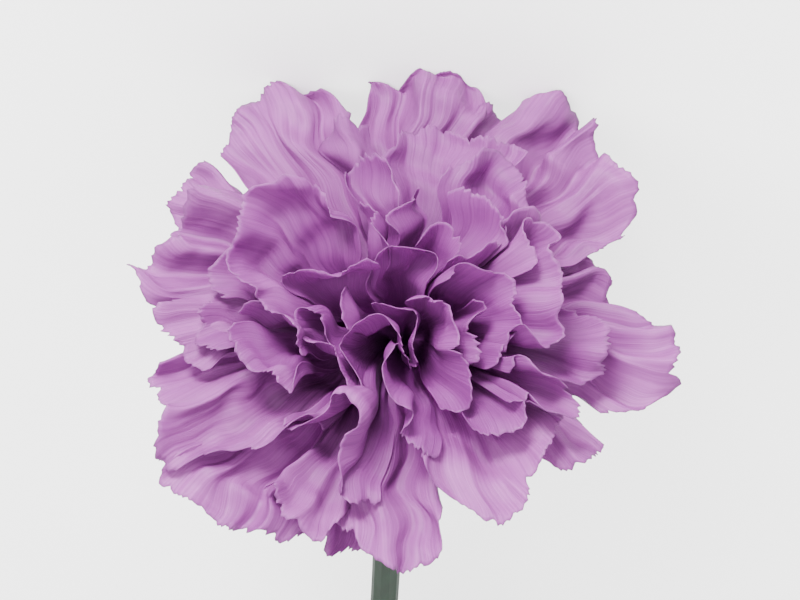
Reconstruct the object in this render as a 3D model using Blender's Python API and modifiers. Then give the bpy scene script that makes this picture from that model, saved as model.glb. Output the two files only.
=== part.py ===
"""A cut carnation lying on its side, at its real size.

Every shape is worked out in the flower's own frame, in millimetres: z runs along the stem towards the
face of the flower, from 0 at the mouth of the calyx, and +y is the side that the flower lies on. lay()
turns that frame into the world, where the back petals and the cut end of the stem rest on z = 0.

A petal leaves the calyx along the stem and bends outwards. Its outline is given as it is seen from
above the flower: each point says how far the petal has opened there, at which azimuth it stands and
how long it is. Petals whose outlines don't cross in that view don't touch anywhere.
"""

import math

import bmesh
import bpy
import numpy as np
from mathutils import Vector

MM = 0.001

# The stem and how the flower lies
MOUTH_HEIGHT = 41.5
STEM_REACH = 215.0
STEM_RADIUS = 2.3
STEM_TOP_RADIUS = 2.6
NODE_SWELL = 1.45
NODE_HALF_LENGTH = 5.0
LEAF_NODES = {"upper": 118.0, "lower": 170.0}
STEM_STEP = 3.0
STEM_SWAY = 0.4
GAP = 0.3

# The calyx, its bracts and the pistil
CALYX_DEPTH = 28.0
CALYX_WALL = 0.5
CALYX_PROFILE = ((0.0, 0.0), (2.6, 0.25), (4.4, 1.6), (5.3, 5.0), (5.9, 11.0), (6.1, 18.0), (6.1, 26.0))
CALYX_TEETH = 5
TOOTH_LENGTH = 5.0
TOOTH_FLARE = 0.25
CALYX_SIDES = 40
CALYX_RINGS = 14
BRACTS = 4
BRACT_LENGTH = 11.0
BRACT_HALF_ANGLE = 42.0
BRACT_THICKNESS = 0.4
PISTIL_PROFILE = (
    (0.0, 4.0), (0.2, 3.8), (0.2, -12.5), (0.7, -13.5), (1.5, -15.5), (1.8, -19.0), (1.6, -24.0),
    (1.0, -26.3), (0.0, -26.8),
)

# How a petal leaves the calyx
CLAW_END = -22.0
BEND_START = -2.0
BEND_END = 15.0
OPEN_LIMIT = 110.0
MOUTH_RADIUS = 4.9
MOUTH_SPREAD = 0.8
CLAW_RING = 2.35
CLAW_RING_TOP = -9.0
CLAW_WIDTH = 0.55
FULL_WIDTH_AT = 24.0
PETAL_THICKNESS = 0.3
CLAW_THICKNESS_SHARE = 0.3
PETAL_ROWS = (-22.0, -10.0, -2.0, 2.0, 5.0, 9.0, 13.0)
BLADE_ROWS = 3
PETAL_COLUMNS = 8
BEND_STEPS = 24

# Leaves
LEAF_THICKNESS = 0.6
LEAF_BASE_ANGLE = 62.0
LEAF_SHEATH = 7.0

# Outlines: (opening in degrees, azimuth in degrees, length in millimetres), from one side to the other
OUTER_PETALS = (
    ((101, 138, 39), (100, 130, 44), (100, 120, 47), (98, 110, 48), (98, 105, 40)),
    ((97, 102, 37), (97, 100, 43), (97, 88, 46), (96, 78, 46), (97, 74, 40)),
    ((98, 71, 42), (98, 69, 47), (96, 60, 47), (95, 45, 43), (96, 33, 41), (97, 24, 33)),
    ((105, 26, 28), (98, 15, 31), (95, 8, 36), (94, -5, 42), (94, -15, 40), (95, -24, 33)),
    ((103, -22, 29), (94, -31, 35), (91, -39, 37), (90, -50, 32)),
    ((79, -36, 31), (82, -53, 36), (82, -62, 40), (80, -74, 35), (77, -82, 29)),
    ((92, -74, 33), (90, -81, 42), (90, -87, 43), (91, -94, 39), (93, -103, 35)),
    ((84, -98, 34), (85, -105, 39), (86, -111, 39), (89, -119, 37)),
    ((98, -108, 37), (93, -120, 42), (92, -131, 43), (94, -141, 42), (97, -149, 38)),
    ((92, -167, 38), (88, -156, 38), (86, -147, 42), (85, -138, 42), (80, -128, 33), (74, -117, 28)),
    ((82, -156, 33), (82, -168, 34), (83, -176, 36), (84, -182, 33)),
    ((93, 183, 33), (88, 173, 41), (86, 166, 39), (85, 159, 38), (84, 150, 39), (87, 143, 33)),
    ((95, 160, 33), (97, 151, 40), (103, 143, 42), (112, 134, 40)),
    ((107, 90, 34), (105, 80, 40), (105, 66, 41), (107, 54, 35)),
    ((107, 42, 32), (107, 30, 32), (106, 18, 31), (107, 8, 31)),
    ((108, -92, 33), (107, -102, 36), (106, -112, 36), (108, -122, 34)),
)
MIDDLE_PETALS = (
    ((64, 148, 27), (67, 156, 32), (66, 168, 31), (65, 184, 31)),
    ((74, 178, 29), (73, 186, 31), (72, 197, 32), (71, 208, 30)),
    ((76, 98, 29), (74, 84, 34), (72, 70, 33), (74, 56, 38)),
    ((85, 112, 36), (84, 106, 36), (84, 99, 33)),
    ((77, 6, 28), (76, -4, 34), (76, -16, 34), (78, -26, 30)),
    ((62, -157, 32), (60, -140, 32), (52, -131, 31), (50, -130, 30)),
    ((56, -162, 31), (47, -148, 31), (44, -138, 31), (45, -132, 30)),
    ((66, -128, 32), (62, -116, 32), (54, -106, 32), (68, -101, 34), (80, -91, 34)),
    ((56, -68, 29), (60, -60, 31), (64, -49, 31), (72, -38, 33)),
    ((46, 203, 31), (49, 178, 35), (48, 160, 35), (48, 145, 35), (38, 140, 32), (22, 148, 28)),
    ((44, 120, 29), (45, 110, 30), (42, 101, 30), (26, 108, 27)),
    ((54, 74, 28), (60, 58, 33), (54, 45, 32), (40, 18, 29)),
    ((38, 2, 31), (48, 23, 32), (53, 4, 32), (51, -22, 32), (52, -35, 30)),
    ((56, -43, 30), (63, -30, 33), (68, -36, 34), (58, -50, 30)),
)
INNER_PETALS = (
    ((12, 100, 27), (24, 92, 27), (37, 82, 28)),
    ((13, 75, 25), (15, 48, 26), (11, 5, 26)),
    ((33, 66, 28), (38, 50, 28), (38, 33, 28), (24, 14, 27), (18, -4, 27)),
    ((12, -22, 28), (24, -12, 29), (37, -14, 29), (44, -30, 29), (51, -45, 29)),
    ((24, -24, 27), (33, -32, 28), (41, -41, 28), (48, -51, 28)),
    ((12, -76, 26), (17, -44, 27), (23, -42, 28), (34, -49, 28), (47, -60, 27), (54, -76, 26)),
    ((19, -119, 24), (15, -97, 25), (19, -69, 25), (27, -69, 25), (38, -78, 24)),
    ((50, -108, 26), (39, -119, 26), (27, -121, 27), (25, -104, 27), (31, -85, 26), (44, -81, 25)),
    ((36, -88, 29), (42, -94, 30), (56, -88, 30), (72, -73, 31)),
    ((31, -128, 27), (38, -148, 28), (42, -128, 28), (54, -114, 28)),
    ((38, -165, 28), (33, -172, 29), (18, -172, 29), (12, -165, 28)),
    ((20, -157, 26), (23, -130, 26), (23, -118, 25)),
    ((7, -150, 25), (5, 150, 25), (5, 60, 25), (9, -25, 25)),
    ((27, 132, 27), (22, 118, 27), (10, 140, 26)),
)

LILAC = (0.36, 0.17, 0.42)
LILAC_PALE = (0.45, 0.25, 0.52)
STEM_GREEN = (0.09, 0.17, 0.09)
CALYX_GREEN = (0.17, 0.27, 0.13)
LEAF_GREEN = (0.13, 0.23, 0.16)
PISTIL_CREAM = (0.72, 0.74, 0.55)

TILT = math.asin((MOUTH_HEIGHT - STEM_RADIUS) / STEM_REACH)


def smoothstep(value):
    """0 below 0, 1 above 1 and a smooth rise between."""
    share = np.clip(value, 0.0, 1.0)
    return share * share * (3.0 - 2.0 * share)


def lay(points):
    """Flower frame in millimetres to world metres, with what would go through the floor pressed onto it."""
    x, y, z = np.moveaxis(np.asarray(points, float), -1, 0)
    sine, cosine = math.sin(TILT), math.cos(TILT)
    height = MOUTH_HEIGHT - y * cosine + z * sine
    press = 0.6
    height = press * np.logaddexp(0.0, (height - GAP) / press) + GAP
    back = -y * sine - z * cosine
    return np.stack([-x, back, height], -1) * MM


def curve_through(points, share):
    """A smooth curve through the points, read at a share of its length between its ends."""
    points = np.asarray(points, float)
    steps = np.linalg.norm(np.diff(points, axis=0), axis=1)
    knots = np.concatenate([[0.0], np.cumsum(steps)]) / steps.sum()
    slopes = np.gradient(points, knots, axis=0)
    index = np.clip(np.searchsorted(knots, share, side="right") - 1, 0, len(knots) - 2)
    span = (knots[index + 1] - knots[index])[..., None]
    part = (share[..., None] - knots[index][..., None]) / span
    squared, cubed = part**2, part**3
    return (
        (2 * cubed - 3 * squared + 1) * points[index]
        + (cubed - 2 * squared + part) * span * slopes[index]
        + (3 * squared - 2 * cubed) * points[index + 1]
        + (cubed - squared) * span * slopes[index + 1]
    )


def fountain(distance, opening, azimuth):
    """Where a petal is at a distance past the calyx mouth, for its final opening angle and its azimuth."""
    radius = MOUTH_RADIUS * (opening / OPEN_LIMIT) ** MOUTH_SPREAD
    in_ring = smoothstep((CLAW_RING_TOP - distance) / (CLAW_RING_TOP - CLAW_END) + 0.5)
    ring = CLAW_RING + radius * (1.0 - CLAW_RING / MOUTH_RADIUS)
    radius = radius + (ring - radius) * in_ring
    free = np.clip(distance - BEND_START, 0.0, None)
    height = np.minimum(distance, BEND_START)
    for step in range(BEND_STEPS):
        reached = free * (step + 0.5) / BEND_STEPS
        angle = np.radians(opening) * smoothstep(reached / (BEND_END - BEND_START))
        radius = radius + free * np.sin(angle) / BEND_STEPS
        height = height + free * np.cos(angle) / BEND_STEPS
    return np.stack([radius * np.cos(azimuth), radius * np.sin(azimuth), height], -1)


def petal_points(outline, across, row):
    """Points of a petal's middle surface, for a place across it from -1 to 1 and a row number."""
    opening, azimuth, length = np.asarray(outline, float).T
    plan = opening * np.exp(1j * np.radians(azimuth))
    corners = np.stack([plan.real, plan.imag, length], -1)
    base_rows = len(PETAL_ROWS) - 1
    low = np.interp(row, range(len(PETAL_ROWS)), PETAL_ROWS)
    blade = np.clip((row - base_rows) / BLADE_ROWS, 0.0, 1.0)
    width = CLAW_WIDTH + (1.0 - CLAW_WIDTH) * smoothstep(low / FULL_WIDTH_AT)
    width = width + (1.0 - width) * np.sqrt(blade)
    right, forward, reach = np.moveaxis(curve_through(corners, 0.5 + 0.5 * across * width), -1, 0)
    distance = low + (reach - PETAL_ROWS[-1]) * blade
    return fountain(distance, np.hypot(right, forward), np.arctan2(forward, right))


def material(name, color, roughness):
    made = bpy.data.materials.new(name)
    made.use_nodes = True
    shader = made.node_tree.nodes["Principled BSDF"]
    shader.inputs["Base Color"].default_value = (*color, 1.0)
    shader.inputs["Roughness"].default_value = roughness
    shader.inputs["Metallic"].default_value = 0.0
    return made


def add_object(name, data, finish, collection):
    made = bpy.data.objects.new(name, data)
    made.data.materials.append(finish)
    collection.objects.link(made)
    return made


def sheet(name, columns, rows, place, finish, collection, thickness):
    """A grid of faces moved into shape by place(across, row), then given its thickness."""
    made = bmesh.new()
    bmesh.ops.create_grid(made, x_segments=columns, y_segments=rows, size=1.0)
    made.verts.ensure_lookup_table()
    across = np.array([vertex.co.x for vertex in made.verts])
    row = np.array([(vertex.co.y + 1.0) / 2.0 * rows for vertex in made.verts])
    for vertex, point in zip(made.verts, place(across, row)):
        vertex.co = point
    mesh = bpy.data.meshes.new(name)
    made.to_mesh(mesh)
    made.free()
    sheet_object = add_object(name, mesh, finish, collection)
    solid = sheet_object.modifiers.new("Thickness", "SOLIDIFY")
    solid.thickness = thickness * MM
    solid.offset = 0.0
    return sheet_object, row


def add_petals(group, outlines, finish, collection):
    rows = len(PETAL_ROWS) - 1 + BLADE_ROWS
    for number, outline in enumerate(outlines, 1):
        def place(across, row, outline=outline):
            return lay(petal_points(outline, across, row))

        name = f"{group}_petal_{number:02d}"
        petal, row = sheet(name, PETAL_COLUMNS, rows, place, finish, collection, PETAL_THICKNESS)
        blade = petal.vertex_groups.new(name="blade")
        for index, share in enumerate(smoothstep((row - 3.0) / 3.0)):
            blade.add([index], float(share), "REPLACE")
        petal.modifiers["Thickness"].vertex_group = blade.name
        petal.modifiers["Thickness"].thickness_vertex_group = CLAW_THICKNESS_SHARE


def tooth_height(azimuth):
    """0 in the notches of the calyx mouth and 1 at the tips of its teeth, for an azimuth in radians."""
    place = (azimuth / (2.0 * math.pi) * CALYX_TEETH) % 1.0
    return (1.0 - np.abs(2.0 * place - 1.0)) ** 1.3


def calyx_radius(height):
    """The outer radius of the calyx at a height in the flower frame."""
    radii, heights = np.array(CALYX_PROFILE).T
    return np.interp(height, heights - CALYX_DEPTH, radii)


def add_calyx(finish, collection):
    made = bmesh.new()
    bmesh.ops.create_uvsphere(made, u_segments=CALYX_SIDES, v_segments=CALYX_RINGS, radius=1.0)
    bmesh.ops.delete(made, geom=[max(made.verts, key=lambda vertex: vertex.co.z)], context="VERTS")
    radii, heights = np.array(CALYX_PROFILE).T
    for vertex in made.verts:
        azimuth = math.atan2(vertex.co.y, vertex.co.x)
        ring = math.acos(max(-1.0, min(1.0, -vertex.co.z))) / math.pi * CALYX_RINGS / (CALYX_RINGS - 1)
        along = ring * (len(radii) - 1)
        radius = np.interp(along, range(len(radii)), radii)
        height = np.interp(along, range(len(radii)), heights) - CALYX_DEPTH
        tooth = tooth_height(azimuth) * smoothstep((ring - 0.8) / 0.2)
        radius = radius + TOOTH_FLARE * tooth
        vertex.co = lay((radius * math.cos(azimuth), radius * math.sin(azimuth), height + TOOTH_LENGTH * tooth))
    mesh = bpy.data.meshes.new("calyx")
    made.to_mesh(mesh)
    made.free()
    calyx = add_object("calyx", mesh, finish, collection)
    wall = calyx.modifiers.new("Wall", "SOLIDIFY")
    wall.thickness = CALYX_WALL * MM
    wall.offset = -1.0


def add_bracts(finish, collection):
    for number in range(BRACTS):
        middle = math.radians(360.0 / BRACTS * (number + 0.5))

        def place(across, row, middle=middle):
            share = row / 6.0
            half = math.radians(BRACT_HALF_ANGLE) * np.cos(share * math.pi / 2.0) ** 0.7 + 0.02
            height = 1.9 - CALYX_DEPTH + BRACT_LENGTH * share
            radius = calyx_radius(height) + GAP + BRACT_THICKNESS / 2.0
            azimuth = middle + across * half
            return lay(np.stack([radius * np.cos(azimuth), radius * np.sin(azimuth), height], -1))

        sheet(f"bract_{number + 1}", 6, 6, place, finish, collection, BRACT_THICKNESS)


def add_pistil(finish, collection):
    mesh = bpy.data.meshes.new("pistil")
    points = [(radius * MM, 0.0, height * MM) for radius, height in PISTIL_PROFILE]
    mesh.from_pydata(points, [(k, k + 1) for k in range(len(points) - 1)], [])
    pistil = add_object("pistil", mesh, finish, collection)
    pistil.location = lay((0.0, 0.0, 0.0))
    pistil.rotation_euler = (math.pi / 2.0 - TILT, 0.0, 0.0)
    turn = pistil.modifiers.new("Turn", "SCREW")
    turn.steps = turn.render_steps = 16
    turn.use_merge_vertices = True
    turn.merge_threshold = 0.00001


def stem_point(down):
    """The stem's axis at a distance below the calyx mouth, with a slight sway between its ends."""
    free = np.clip((down - CALYX_DEPTH) / (STEM_REACH - CALYX_DEPTH), 0.0, 1.0)
    sway = STEM_SWAY * np.sin(2.0 * math.pi * free) * np.sin(math.pi * free)
    return np.stack([sway, 0.4 * sway, -down + 0.0 * free], -1)


def stem_radius(down):
    radius = STEM_RADIUS + (STEM_TOP_RADIUS - STEM_RADIUS) * math.exp(-(down - CALYX_DEPTH) / 4.0)
    for node in LEAF_NODES.values():
        radius += STEM_RADIUS * (NODE_SWELL - 1.0) * math.exp(-(((down - node) / NODE_HALF_LENGTH * 2.0) ** 2))
    return radius


def add_stem(finish, collection):
    curve = bpy.data.curves.new("stem", "CURVE")
    curve.dimensions = "3D"
    curve.bevel_depth = STEM_RADIUS * MM
    curve.bevel_resolution = 3
    curve.use_fill_caps = True
    line = curve.splines.new("POLY")
    places = np.arange(CALYX_DEPTH + GAP, STEM_REACH, STEM_STEP)
    line.points.add(len(places) - 1)
    for point, down in zip(line.points, places):
        point.co = (*lay(stem_point(down)), 1.0)
        point.radius = stem_radius(down) / STEM_RADIUS
    add_object("stem", curve, finish, collection)


def add_leaf(name, node, side, length, half_width, spread, finish, collection):
    """A narrow channelled leaf that clasps half the stem at its node and then curves away to one side."""
    rows = 14

    def place(across, row):
        share = row / rows
        run = share * length
        bend = np.radians(spread) * smoothstep((run - LEAF_SHEATH) / (0.5 * length))
        path = (np.arange(BEND_STEPS)[:, None] + 0.5) / BEND_STEPS * run
        turn = np.radians(spread) * smoothstep((path - LEAF_SHEATH) / (0.5 * length))
        out = np.sin(turn).mean(axis=0) * run
        up = np.cos(turn).mean(axis=0) * run
        hug = 1.0 - smoothstep(run / (2.2 * LEAF_SHEATH))
        clasp = stem_radius(node) + GAP + LEAF_THICKNESS / 2.0
        angle = across * math.radians(LEAF_BASE_ANGLE)
        width = half_width * (1.0 - share**2.2) ** 0.7 + 0.15
        channel = 0.35 * width * across**2
        hugging = np.stack([clasp * np.cos(angle), clasp * np.sin(angle)], -1)
        flat = np.stack([clasp - channel, width * across], -1)
        section = hugging * hug[:, None] + flat * (1.0 - hug[:, None])
        centre = stem_point(node)
        side_out = section[:, 0] * np.cos(bend) + out
        along = up - section[:, 0] * np.sin(bend)
        return lay(np.stack([side * side_out + centre[0], section[:, 1] + centre[1], centre[2] + along], -1))

    sheet(name, 4, rows, place, finish, collection, LEAF_THICKNESS)


def stand_on_origin(collection):
    """Moves every object so that the world's origin is under the middle of the flower, on the floor."""
    bpy.context.view_layer.update()
    graph = bpy.context.evaluated_depsgraph_get()
    corners = []
    for made in collection.objects:
        evaluated = made.evaluated_get(graph)
        mesh = evaluated.to_mesh()
        corners += [evaluated.matrix_world @ vertex.co for vertex in mesh.vertices]
        evaluated.to_mesh_clear()
    low, high = np.min(corners, axis=0), np.max(corners, axis=0)
    middle = Vector(((low[0] + high[0]) / 2.0, (low[1] + high[1]) / 2.0, low[2]))
    for made in collection.objects:
        made.location -= middle


def main():
    for old in list(bpy.data.objects):
        bpy.data.objects.remove(old, do_unlink=True)
    collection = bpy.data.collections.new("cut_carnation")
    bpy.context.scene.collection.children.link(collection)
    add_petals("outer", OUTER_PETALS, material("outer_petal", LILAC_PALE, 0.6), collection)
    add_petals("middle", MIDDLE_PETALS, material("middle_petal", LILAC, 0.6), collection)
    add_petals("inner", INNER_PETALS, material("inner_petal", LILAC, 0.6), collection)
    add_calyx(material("calyx", CALYX_GREEN, 0.55), collection)
    add_bracts(material("bract", CALYX_GREEN, 0.55), collection)
    add_pistil(material("pistil", PISTIL_CREAM, 0.5), collection)
    add_stem(material("stem", STEM_GREEN, 0.5), collection)
    leaf = material("leaf", LEAF_GREEN, 0.55)
    for which, length, half_width, spread in (("upper", 40.0, 2.4, 62.0), ("lower", 62.0, 3.0, 52.0)):
        for side, word in ((1, "left"), (-1, "right")):
            add_leaf(f"{which}_leaf_{word}", LEAF_NODES[which], side, length, half_width, spread, leaf, collection)
    stand_on_origin(collection)


main()
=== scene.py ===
"""The looks of a cut carnation lying on its side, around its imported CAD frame.

The petals are built again at full fineness over their CAD solids: the same outlines, with toothed
margins, pleats, ruffles and curled tips. The stem, calyx, bracts, pistil and leaves are the CAD's own,
with procedural materials.

Shapes are worked out in the flower's frame, in millimetres: z runs along the stem towards the face of
the flower, from 0 at the mouth of the calyx, and +y is the side that the flower lies on.
"""

import math

import bmesh
import bpy
import numpy as np
from mathutils import Matrix, Vector


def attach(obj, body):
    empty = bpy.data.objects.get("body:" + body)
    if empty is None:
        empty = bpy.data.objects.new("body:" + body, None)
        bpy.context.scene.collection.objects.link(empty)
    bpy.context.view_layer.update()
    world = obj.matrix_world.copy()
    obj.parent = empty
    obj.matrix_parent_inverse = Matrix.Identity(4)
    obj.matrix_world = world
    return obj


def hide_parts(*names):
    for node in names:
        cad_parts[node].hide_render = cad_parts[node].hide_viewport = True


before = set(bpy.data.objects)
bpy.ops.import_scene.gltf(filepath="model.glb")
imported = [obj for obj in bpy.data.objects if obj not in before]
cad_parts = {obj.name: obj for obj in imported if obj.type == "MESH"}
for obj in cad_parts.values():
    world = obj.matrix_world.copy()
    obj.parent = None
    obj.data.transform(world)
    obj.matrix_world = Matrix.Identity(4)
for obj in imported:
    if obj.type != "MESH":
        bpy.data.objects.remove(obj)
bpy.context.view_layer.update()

MM = 0.001

# How the flower lies
MOUTH_HEIGHT = 41.5
STEM_REACH = 215.0
STEM_RADIUS = 2.3
PISTIL_TOP = 4.0
FLOOR_GAP = 0.3
FLOOR_SOFTNESS = 0.6
TILT = math.asin((MOUTH_HEIGHT - STEM_RADIUS) / STEM_REACH)

# How a petal leaves the calyx
CLAW_END = -22.0
BEND_START = -2.0
BEND_END = 15.0
OPEN_LIMIT = 110.0
MOUTH_RADIUS = 4.9
MOUTH_SPREAD = 0.8
CLAW_RING = 2.35
CLAW_RING_TOP = -9.0
CLAW_WIDTH = 0.55
FULL_WIDTH_AT = 24.0
BEND_STEPS = 24

# The fine mesh of a petal
COLUMNS = 116
CLAW_ROWS = 8
BLADE_ROWS = 52
BLADE_START = -2.0
PETAL_THICKNESS = 0.1
MARGIN_SAMPLES = 400
FAN_SHARE = 0.9
TANGENT_STEP = 0.004

# Toothed margins: depths in millimetres, and the spacings of the teeth and of their drifts
TOOTH_DEPTH = 1.0
TOOTH_SPACING = 1.25
TOOTH_DRIFT_SPACING = 6.0
TOOTH_CHANGE_SPACING = 7.0
NOTCH_SHARE = 1.5
NOTCH_SPACING = 5.2
NOTCH_DRIFT_SPACING = 8.0
NOTCH_CHANGE_SPACING = 11.0
CORNER_CUT = 1.6
CORNER_SHARPNESS = 8

# Pleats, ruffles, curled margins and crumples, which are (spacing, height, phase)
PLEAT_SPACING = 3.4
PLEAT_CHANGE_SPACING = 10.0
RUFFLE_SPACING = 11.0
CROSS_RUFFLE = 0.35
CROSS_RUFFLE_SPACING = 11.0
CURL_SPACING = 14.0
CURL_VARIATION = 22.0
CRUMPLE_START = 30.0
CRUMPLES = ((27.0, 1.3, 0.4), (13.0, 0.9, 2.2), (7.5, 0.45, 4.1))

# The photograph's view
VIEW_ANGLE = 30.0
VIEW_ROLL = 3.5
VIEW_DISTANCE = 560.0
MM_PER_PICTURE = 117.6
MOUTH_ACROSS = -0.3
MOUTH_UP = -7.1
SENSOR = 36.0

# The stage, in metres, with LIGHT_AIM in millimetres. A light's place counts from the head, along the
# camera's own directions.
FLOOR_HALF_SIZE = 4.0
FLOOR_DROP = 0.0002
WORLD_STRENGTH = 3.6
LIGHT_AIM = 15.0
LIGHTS = {
    "Key": {"towards": 0.55, "up": 0.5, "right": -0.15, "size": 0.3, "power": 60.0},
    "Fill": {"towards": 0.8, "up": 0.0, "right": -0.6, "size": 0.8, "power": 10.0},
}

# Outlines: (opening in degrees, azimuth in degrees, length in millimetres), from one side to the other
OUTER_PETALS = (
    ((101, 138, 39), (100, 130, 44), (100, 120, 47), (98, 110, 48), (98, 105, 40)),
    ((97, 102, 37), (97, 100, 43), (97, 88, 46), (96, 78, 46), (97, 74, 40)),
    ((98, 71, 42), (98, 69, 47), (96, 60, 47), (95, 45, 43), (96, 33, 41), (97, 24, 33)),
    ((105, 26, 28), (98, 15, 31), (95, 8, 36), (94, -5, 42), (94, -15, 40), (95, -24, 33)),
    ((103, -22, 29), (94, -31, 35), (91, -39, 37), (90, -50, 32)),
    ((79, -36, 31), (82, -53, 36), (82, -62, 40), (80, -74, 35), (77, -82, 29)),
    ((92, -74, 33), (90, -81, 42), (90, -87, 43), (91, -94, 39), (93, -103, 35)),
    ((84, -98, 34), (85, -105, 39), (86, -111, 39), (89, -119, 37)),
    ((98, -108, 37), (93, -120, 42), (92, -131, 43), (94, -141, 42), (97, -149, 38)),
    ((92, -167, 38), (88, -156, 38), (86, -147, 42), (85, -138, 42), (80, -128, 33), (74, -117, 28)),
    ((82, -156, 33), (82, -168, 34), (83, -176, 36), (84, -182, 33)),
    ((93, 183, 33), (88, 173, 41), (86, 166, 39), (85, 159, 38), (84, 150, 39), (87, 143, 33)),
    ((95, 160, 33), (97, 151, 40), (103, 143, 42), (112, 134, 40)),
    ((107, 90, 34), (105, 80, 40), (105, 66, 41), (107, 54, 35)),
    ((107, 42, 32), (107, 30, 32), (106, 18, 31), (107, 8, 31)),
    ((108, -92, 33), (107, -102, 36), (106, -112, 36), (108, -122, 34)),
)
MIDDLE_PETALS = (
    ((64, 148, 27), (67, 156, 32), (66, 168, 31), (65, 184, 31)),
    ((74, 178, 29), (73, 186, 31), (72, 197, 32), (71, 208, 30)),
    ((76, 98, 29), (74, 84, 34), (72, 70, 33), (74, 56, 38)),
    ((85, 112, 36), (84, 106, 36), (84, 99, 33)),
    ((77, 6, 28), (76, -4, 34), (76, -16, 34), (78, -26, 30)),
    ((62, -157, 32), (60, -140, 32), (52, -131, 31), (50, -130, 30)),
    ((56, -162, 31), (47, -148, 31), (44, -138, 31), (45, -132, 30)),
    ((66, -128, 32), (62, -116, 32), (54, -106, 32), (68, -101, 34), (80, -91, 34)),
    ((56, -68, 29), (60, -60, 31), (64, -49, 31), (72, -38, 33)),
    ((46, 203, 31), (49, 178, 35), (48, 160, 35), (48, 145, 35), (38, 140, 32), (22, 148, 28)),
    ((44, 120, 29), (45, 110, 30), (42, 101, 30), (26, 108, 27)),
    ((54, 74, 28), (60, 58, 33), (54, 45, 32), (40, 18, 29)),
    ((38, 2, 31), (48, 23, 32), (53, 4, 32), (51, -22, 32), (52, -35, 30)),
    ((56, -43, 30), (63, -30, 33), (68, -36, 34), (58, -50, 30)),
)
INNER_PETALS = (
    ((12, 100, 27), (24, 92, 27), (37, 82, 28)),
    ((13, 75, 25), (15, 48, 26), (11, 5, 26)),
    ((33, 66, 28), (38, 50, 28), (38, 33, 28), (24, 14, 27), (18, -4, 27)),
    ((12, -22, 28), (24, -12, 29), (37, -14, 29), (44, -30, 29), (51, -45, 29)),
    ((24, -24, 27), (33, -32, 28), (41, -41, 28), (48, -51, 28)),
    ((12, -76, 26), (17, -44, 27), (23, -42, 28), (34, -49, 28), (47, -60, 27), (54, -76, 26)),
    ((19, -119, 24), (15, -97, 25), (19, -69, 25), (27, -69, 25), (38, -78, 24)),
    ((50, -108, 26), (39, -119, 26), (27, -121, 27), (25, -104, 27), (31, -85, 26), (44, -81, 25)),
    ((36, -88, 29), (42, -94, 30), (56, -88, 30), (72, -73, 31)),
    ((31, -128, 27), (38, -148, 28), (42, -128, 28), (54, -114, 28)),
    ((38, -165, 28), (33, -172, 29), (18, -172, 29), (12, -165, 28)),
    ((20, -157, 26), (23, -130, 26), (23, -118, 25)),
    ((7, -150, 25), (5, 150, 25), (5, 60, 25), (9, -25, 25)),
    ((27, 132, 27), (22, 118, 27), (10, 140, 26)),
)

# Petal colours at the claw, half way up and near the margin, and on the margin itself; the margin's slightly
# darker colour is painted shade that tones down the light caught by the thin edge
PETAL_COLORS = {
    "outer": ((0.034, 0.003, 0.035), (0.064, 0.009, 0.063), (0.132, 0.029, 0.129)),
    "middle": ((0.028, 0.002, 0.030), (0.056, 0.006, 0.057), (0.112, 0.021, 0.111)),
    "inner": ((0.026, 0.002, 0.028), (0.058, 0.006, 0.059), (0.108, 0.018, 0.108)),
}
PETAL_RIM_SHADE = (0.10, 0.024, 0.10)

# Ruffle and pleat heights in millimetres, and the curl of the margin in degrees, by group
GROUPS = {
    "outer": {"outlines": OUTER_PETALS, "pleat": 0.36, "ruffle": 1.7, "curl": -8.0},
    "middle": {"outlines": MIDDLE_PETALS, "pleat": 0.24, "ruffle": 1.9, "curl": 6.0},
    "inner": {"outlines": INNER_PETALS, "pleat": 0.14, "ruffle": 1.6, "curl": 8.0},
}


def smoothstep(value):
    """0 below 0, 1 above 1 and a smooth rise between."""
    share = np.clip(value, 0.0, 1.0)
    return share * share * (3.0 - 2.0 * share)


def mouth_place():
    """The middle of the calyx mouth in the world, found from the tip of the pistil."""
    axis = Vector((0.0, -math.cos(TILT), math.sin(TILT)))
    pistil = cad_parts["pistil"]
    tip = max((pistil.matrix_world @ vertex.co for vertex in pistil.data.vertices), key=axis.dot)
    return tip - axis * PISTIL_TOP * MM


MOUTH = mouth_place()


def lay(points):
    """Flower frame in millimetres to world metres, with what would go through the floor pressed onto it."""
    x, y, z = np.moveaxis(np.asarray(points, float), -1, 0)
    sine, cosine = math.sin(TILT), math.cos(TILT)
    height = MOUTH_HEIGHT - y * cosine + z * sine
    height = FLOOR_SOFTNESS * np.logaddexp(0.0, (height - FLOOR_GAP) / FLOOR_SOFTNESS) + FLOOR_GAP
    back = -y * sine - z * cosine
    shift = np.array(MOUTH) / MM - np.array((0.0, 0.0, MOUTH_HEIGHT))
    return (np.stack([-x, back, height], -1) + shift) * MM


def curve_through(points, share):
    """A smooth curve through the points, read at a share of its length between its ends."""
    points = np.asarray(points, float)
    steps = np.linalg.norm(np.diff(points, axis=0), axis=1)
    knots = np.concatenate([[0.0], np.cumsum(steps)]) / steps.sum()
    slopes = np.gradient(points, knots, axis=0)
    index = np.clip(np.searchsorted(knots, share, side="right") - 1, 0, len(knots) - 2)
    span = (knots[index + 1] - knots[index])[..., None]
    part = (share[..., None] - knots[index][..., None]) / span
    squared, cubed = part**2, part**3
    return (
        (2 * cubed - 3 * squared + 1) * points[index]
        + (cubed - 2 * squared + part) * span * slopes[index]
        + (3 * squared - 2 * cubed) * points[index + 1]
        + (cubed - squared) * span * slopes[index + 1]
    )


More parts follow.
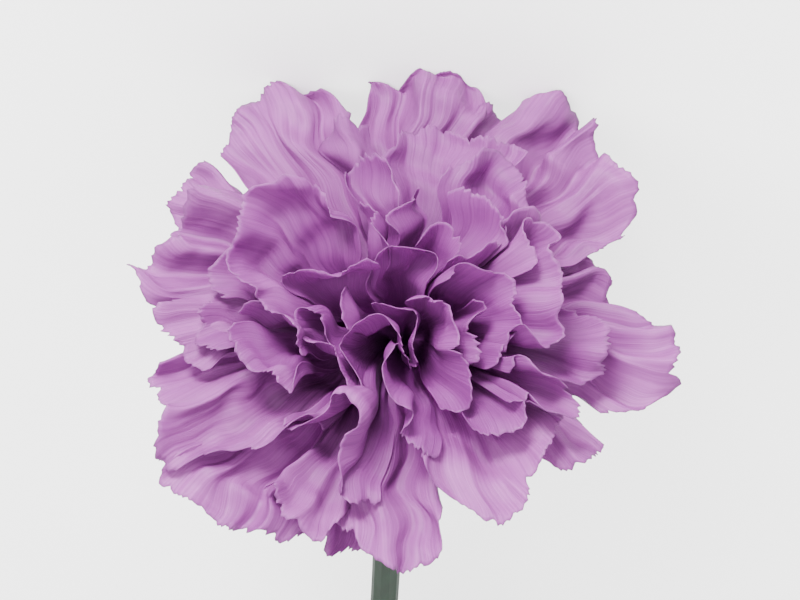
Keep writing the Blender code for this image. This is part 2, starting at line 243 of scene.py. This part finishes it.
def fountain(distance, opening, azimuth, curl):
    """Where a petal is at a distance past the calyx mouth, for its final opening angle and its azimuth."""
    radius = MOUTH_RADIUS * (opening / OPEN_LIMIT) ** MOUTH_SPREAD
    in_ring = smoothstep((CLAW_RING_TOP - distance) / (CLAW_RING_TOP - CLAW_END) + 0.5)
    ring = CLAW_RING + radius * (1.0 - CLAW_RING / MOUTH_RADIUS)
    radius = radius + (ring - radius) * in_ring
    free = np.clip(distance - BEND_START, 0.0, None)
    height = np.minimum(distance, BEND_START)
    for step in range(BEND_STEPS):
        part = (step + 0.5) / BEND_STEPS
        angle = opening * smoothstep(free * part / (BEND_END - BEND_START)) + curl * part**4
        radius = radius + free * np.sin(np.radians(angle)) / BEND_STEPS
        height = height + free * np.cos(np.radians(angle)) / BEND_STEPS
    return np.stack([radius * np.cos(azimuth), radius * np.sin(azimuth), height], -1)


def wander(along, spacing, rng, octaves=3):
    """A smooth irregular wave of height about 1 and roughly this spacing."""
    total = np.zeros_like(along)
    for octave in range(octaves):
        pace = 2.0 * math.pi / spacing * (0.55 + 0.5 * octave) * rng.uniform(0.85, 1.15)
        total += np.sin(along * pace + rng.uniform(0.0, 2.0 * math.pi)) / (1.0 + 0.5 * octave)
    return total / 1.7


def teeth(along, rng):
    """How far the margin is cut back, in irregular teeth and deeper notches, before TOOTH_DEPTH scales it."""
    bend = along + 0.6 * wander(along, TOOTH_DRIFT_SPACING, rng)
    fine = 1.0 - np.abs(((bend / TOOTH_SPACING) % 1.0) - 0.35) * 1.5
    drift = bend + 0.8 * wander(along, NOTCH_DRIFT_SPACING, rng)
    notch = (1.0 - np.abs(((drift / NOTCH_SPACING) % 1.0) - 0.5) * 2.0) ** 3
    depth = 0.45 + 0.35 * wander(along, TOOTH_CHANGE_SPACING, rng)
    return fine * depth + NOTCH_SHARE * notch * (0.6 + 0.4 * wander(along, NOTCH_CHANGE_SPACING, rng))


def petal_points(outline, across, up, rng, pleat, ruffle, curl):
    """The petal's middle surface. across runs from -1 to 1, and up from -1 at the claw to 1 at the margin."""
    opening, azimuth, length = np.asarray(outline, float).T
    plan = opening * np.exp(1j * np.radians(azimuth))
    corners = np.stack([plan.real, plan.imag, length], -1)
    blade = np.clip(up, 0.0, 1.0)
    claw = np.clip(-up, 0.0, 1.0)
    side = np.linspace(-1.0, 1.0, MARGIN_SAMPLES)
    margin = curve_through(corners, 0.5 + 0.5 * side)
    scale = math.radians(1.0) * length.mean() * FAN_SHARE
    run = np.concatenate([[0.0], np.cumsum(np.hypot(*np.diff(margin[:, :2], axis=0).T))]) * scale
    reach_guess = np.interp(across, side, margin[:, 2])
    distance_guess = BLADE_START + (reach_guess - BLADE_START) * blade
    width = CLAW_WIDTH + (1.0 - CLAW_WIDTH) * smoothstep(distance_guess / FULL_WIDTH_AT)
    place = across * width
    point = curve_through(corners, 0.5 + 0.5 * place)
    arc = np.interp(place, side, run)
    edge = np.interp(across, side, run)
    cut = teeth(edge, rng) * TOOTH_DEPTH
    corner = CORNER_CUT * np.abs(across) ** CORNER_SHARPNESS
    reach = point[..., 2] - cut - corner
    distance = BLADE_START + (reach - BLADE_START) * blade + (CLAW_END - BLADE_START) * claw
    growth = smoothstep(distance / length.mean())
    wave = ruffle * wander(arc, RUFFLE_SPACING, rng) * growth**1.5
    pleats = pleat * wander(arc, PLEAT_SPACING, rng) * growth
    wave += pleats * (0.7 + 0.3 * wander(arc, PLEAT_CHANGE_SPACING, rng))
    wave += CROSS_RUFFLE * ruffle * wander(distance + 0.3 * arc, CROSS_RUFFLE_SPACING, rng) * growth
    before = curve_through(corners, 0.5 + 0.5 * np.clip(place - TANGENT_STEP, -1.0, 1.0))
    after = curve_through(corners, 0.5 + 0.5 * np.clip(place + TANGENT_STEP, -1.0, 1.0))
    along = after[..., :2] - before[..., :2]
    along /= np.maximum(np.linalg.norm(along, axis=-1), 1e-6)[..., None]
    right = point[..., 0] - along[..., 1] * wave / scale
    forward = point[..., 1] + along[..., 0] * wave / scale
    curling = curl + CURL_VARIATION * wander(arc, CURL_SPACING, rng)
    return fountain(distance, np.hypot(right, forward), np.arctan2(forward, right), curling)


def crumple(points):
    """Smooth irregular shifts that grow away from the calyx and depend only on the place."""
    x, y, z = np.moveaxis(points, -1, 0)
    growth = smoothstep(np.linalg.norm(points, axis=-1) / CRUMPLE_START)[..., None]
    shift = np.zeros_like(points)
    for size, height, phase in CRUMPLES:
        pace = 2.0 * math.pi / size
        shift += height * np.stack([
            np.sin(pace * (0.9 * y + 0.5 * z) + phase) * np.cos(0.6 * pace * z + 2.1 * phase),
            np.sin(pace * (0.8 * z - 0.6 * x) + 1.7 * phase) * np.cos(0.5 * pace * x + phase),
            np.sin(pace * (0.7 * x + 0.7 * y) + 2.3 * phase) * np.cos(0.6 * pace * y + 1.3 * phase),
        ], -1)
    return points + shift * growth


def build_petal(name, outline, number, style, finish):
    rng = np.random.default_rng(number)
    rows = CLAW_ROWS + BLADE_ROWS
    made = bmesh.new()
    bmesh.ops.create_grid(made, x_segments=COLUMNS, y_segments=rows, size=1.0)
    across = np.array([vertex.co.x for vertex in made.verts])
    row = np.array([(vertex.co.y + 1.0) / 2.0 * rows for vertex in made.verts]) - CLAW_ROWS
    up = np.where(row < 0, row / CLAW_ROWS, row / BLADE_ROWS)
    points = petal_points(outline, across, up, rng, style["pleat"], style["ruffle"], style["curl"])
    for vertex, point in zip(made.verts, lay(crumple(points))):
        vertex.co = point
    layer = made.loops.layers.uv.new("Petal")
    for face in made.faces:
        face.smooth = True
        for loop in face.loops:
            index = loop.vert.index
            loop[layer].uv = (0.5 + 0.5 * across[index], max(0.0, up[index]))
    mesh = bpy.data.meshes.new(name)
    made.to_mesh(mesh)
    made.free()
    piece = bpy.data.objects.new(name, mesh)
    bpy.context.scene.collection.objects.link(piece)
    mesh.materials.append(finish)
    solid = piece.modifiers.new("Thickness", "SOLIDIFY")
    solid.thickness = PETAL_THICKNESS * MM
    solid.offset = 0.0
    return piece


class Nodes:
    """A small helper for building one material's node tree."""

    def __init__(self, name):
        self.material = bpy.data.materials.new(name)
        self.material.use_nodes = True
        self.tree = self.material.node_tree
        self.shader = self.tree.nodes["Principled BSDF"]

    def add(self, kind, **settings):
        node = self.tree.nodes.new(kind)
        for key, value in settings.items():
            setattr(node, key, value)
        return node

    def link(self, source, target):
        self.tree.links.new(source, target)

    def noise(self, coordinates, scale, detail=3.0, roughness=0.5):
        node = self.add("ShaderNodeTexNoise")
        node.inputs["Scale"].default_value = scale
        node.inputs["Detail"].default_value = detail
        node.inputs["Roughness"].default_value = roughness
        self.link(coordinates, node.inputs["Vector"])
        return node.outputs["Fac"]

    def ramp(self, factor, stops):
        node = self.add("ShaderNodeValToRGB")
        elements = node.color_ramp.elements
        while len(elements) < len(stops):
            elements.new(0.5)
        for element, (place, color) in zip(elements, stops):
            element.position = place
            element.color = (*color, 1.0)
        self.link(factor, node.inputs["Fac"])
        return node.outputs["Color"]

    def mix(self, blend, factor, first, second):
        node = self.add("ShaderNodeMix", data_type="RGBA", blend_type=blend)
        for socket, value in (("Factor", factor), ("A", first), ("B", second)):
            target = next(s for s in node.inputs if s.name == socket and s.enabled)
            if isinstance(value, (int, float)):
                target.default_value = value
            elif isinstance(value, tuple):
                target.default_value = (*value, 1.0)
            else:
                self.link(value, target)
        return next(s for s in node.outputs if s.enabled)

    def bump(self, height, strength, distance):
        node = self.add("ShaderNodeBump")
        node.inputs["Strength"].default_value = strength
        node.inputs["Distance"].default_value = distance
        self.link(height, node.inputs["Height"])
        self.link(node.outputs["Normal"], self.shader.inputs["Normal"])

    def roughness(self, factor, low, high):
        node = self.add("ShaderNodeMapRange")
        node.inputs["To Min"].default_value = low
        node.inputs["To Max"].default_value = high
        self.link(factor, node.inputs["Value"])
        self.link(node.outputs["Result"], self.shader.inputs["Roughness"])


def petal_material(name, deep, middle, pale, rim_shade):
    made = Nodes(name)
    uv = made.add("ShaderNodeUVMap", uv_map="Petal").outputs["UV"]
    stretch = made.add("ShaderNodeMapping")
    stretch.inputs["Scale"].default_value = (80.0, 1.2, 1.0)
    made.link(uv, stretch.inputs["Vector"])
    place = made.add("ShaderNodeTexCoord").outputs["Object"]
    split = made.add("ShaderNodeSeparateXYZ")
    made.link(uv, split.inputs["Vector"])
    up = split.outputs["Y"]
    veins = made.noise(stretch.outputs["Vector"], 1.0, 4.0, 0.6)
    patches = made.noise(place, 90.0, 2.0)
    # The last stop is the margin's painted shade, a little darker than the pale colour
    color = made.ramp(up, ((0.0, deep), (0.4, middle), (0.85, pale), (0.985, pale), (1.0, rim_shade)))
    streaks = made.ramp(veins, ((0.32, (0.55, 0.42, 0.58)), (0.6, (1.0, 1.0, 1.0))))
    blotches = made.ramp(patches, ((0.3, (0.72, 0.6, 0.74)), (0.65, (1.0, 1.0, 1.0))))
    color = made.mix("MULTIPLY", 0.7, color, streaks)
    color = made.mix("MULTIPLY", 0.8, color, blotches)
    made.link(color, made.shader.inputs["Base Color"])
    made.roughness(patches, 0.5, 0.68)
    made.bump(veins, 0.5, 0.0004)
    made.shader.inputs["Specular IOR Level"].default_value = 0.15
    made.shader.inputs["Subsurface Weight"].default_value = 0.1
    made.shader.inputs["Subsurface Radius"].default_value = (1.0, 0.55, 1.0)
    made.shader.inputs["Subsurface Scale"].default_value = 0.0015
    return made.material


def green_material(name, dark, light, stretch_along, gloss):
    """Waxy green with fine lengthwise streaks and a patchy pale bloom."""
    made = Nodes(name)
    place = made.add("ShaderNodeTexCoord").outputs["Object"]
    stretch = made.add("ShaderNodeMapping")
    stretch.inputs["Scale"].default_value = (1.0, stretch_along, 1.0)
    made.link(place, stretch.inputs["Vector"])
    streaks = made.noise(stretch.outputs["Vector"], 1400.0, 3.0)
    bloom = made.noise(place, 160.0, 3.0)
    color = made.ramp(bloom, ((0.32, dark), (0.7, light)))
    fine = made.ramp(streaks, ((0.3, (0.78, 0.8, 0.78)), (0.65, (1.0, 1.0, 1.0))))
    made.link(made.mix("MULTIPLY", 0.7, color, fine), made.shader.inputs["Base Color"])
    made.roughness(bloom, gloss, gloss + 0.18)
    made.bump(streaks, 0.2, 0.0002)
    made.shader.inputs["Specular IOR Level"].default_value = 0.1
    return made.material


def plain_material(name, dark, light, scale, rough):
    made = Nodes(name)
    place = made.add("ShaderNodeTexCoord").outputs["Object"]
    speckle = made.noise(place, scale, 3.0)
    made.link(made.ramp(speckle, ((0.3, dark), (0.7, light))), made.shader.inputs["Base Color"])
    made.roughness(speckle, rough, rough + 0.1)
    made.bump(speckle, 0.05, 0.0002)
    return made.material


def build_petals():
    finishes = {group: petal_material(f"{group}_petal", *PETAL_COLORS[group], PETAL_RIM_SHADE) for group in GROUPS}
    number = 0
    for group, style in GROUPS.items():
        for count, outline in enumerate(style["outlines"], 1):
            number += 1
            node = f"{group}_petal_{count:02d}"
            piece = build_petal(f"{node}_fine", outline, number, style, finishes[group])
            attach(piece, "root")
            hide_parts(node)


def finish_green_parts():
    finishes = {
        "stem": green_material("stem_skin", (0.003, 0.009, 0.004), (0.009, 0.020, 0.012), 0.06, 0.5),
        "calyx": green_material("calyx_skin", (0.022, 0.050, 0.012), (0.050, 0.085, 0.032), 0.1, 0.5),
        "bract": green_material("bract_skin", (0.020, 0.044, 0.012), (0.048, 0.080, 0.035), 0.1, 0.5),
        "leaf": green_material("leaf_skin", (0.012, 0.028, 0.016), (0.036, 0.060, 0.042), 0.08, 0.5),
        "pistil": plain_material("pistil_skin", (0.34, 0.36, 0.22), (0.48, 0.48, 0.36), 900.0, 0.45),
    }
    for name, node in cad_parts.items():
        finish = next((made for word, made in finishes.items() if word in name), None)
        if finish is None:
            continue
        node.data.materials.clear()
        node.data.materials.append(finish)
        for face in node.data.polygons:
            face.use_smooth = True


def build_stage():
    made = bmesh.new()
    bmesh.ops.create_grid(made, x_segments=1, y_segments=1, size=FLOOR_HALF_SIZE)
    mesh = bpy.data.meshes.new("floor")
    made.to_mesh(mesh)
    made.free()
    floor = bpy.data.objects.new("floor", mesh)
    bpy.context.scene.collection.objects.link(floor)
    floor.location.z = -FLOOR_DROP
    mesh.materials.append(plain_material("floor", (0.93, 0.93, 0.93), (0.95, 0.95, 0.95), 30.0, 0.85))
    world = bpy.data.worlds.new("Studio")
    bpy.context.scene.world = world
    world.use_nodes = True
    world.node_tree.nodes["Background"].inputs["Color"].default_value = (1.0, 1.0, 1.0, 1.0)
    world.node_tree.nodes["Background"].inputs["Strength"].default_value = WORLD_STRENGTH


def add_light(name, place, aim, size, power):
    light = bpy.data.lights.new(name, "AREA")
    light.shape = "DISK"
    light.size = size
    light.energy = power
    lamp = bpy.data.objects.new(name, light)
    bpy.context.scene.collection.objects.link(lamp)
    lamp.location = place
    lamp.rotation_euler = (Vector(aim) - Vector(place)).to_track_quat("-Z", "Y").to_euler()


def to_world(direction):
    """A direction of the flower frame in the world."""
    x, y, z = direction
    sine, cosine = math.sin(TILT), math.cos(TILT)
    return Vector((-x, -y * sine - z * cosine, -y * cosine + z * sine))


def build_camera_and_lights():
    angle, roll = math.radians(VIEW_ANGLE), math.radians(VIEW_ROLL)
    towards = to_world((0.0, -math.sin(angle), math.cos(angle)))
    upright = to_world((0.0, math.cos(angle), math.sin(angle)))
    level = to_world((1.0, 0.0, 0.0))
    right = level * math.cos(roll) + upright * math.sin(roll)
    up = upright * math.cos(roll) - level * math.sin(roll)
    place = MOUTH + (towards * VIEW_DISTANCE - right * MOUTH_ACROSS - up * MOUTH_UP) * MM
    data = bpy.data.cameras.new("Camera")
    data.sensor_width = SENSOR
    data.lens = SENSOR * VIEW_DISTANCE / MM_PER_PICTURE
    data.clip_start = 0.01
    data.clip_end = 20.0
    camera = bpy.data.objects.new("Camera", data)
    bpy.context.scene.collection.objects.link(camera)
    turn = Matrix((right, up, towards)).transposed()
    camera.matrix_world = Matrix.Translation(place) @ turn.to_4x4()
    bpy.context.scene.camera = camera
    head = MOUTH + towards * LIGHT_AIM * MM
    for name, light in LIGHTS.items():
        reach = towards * light["towards"] + up * light["up"] + right * light["right"]
        add_light(name, head + reach, head, light["size"], light["power"])


build_camera_and_lights()
build_stage()
build_petals()
finish_green_parts()
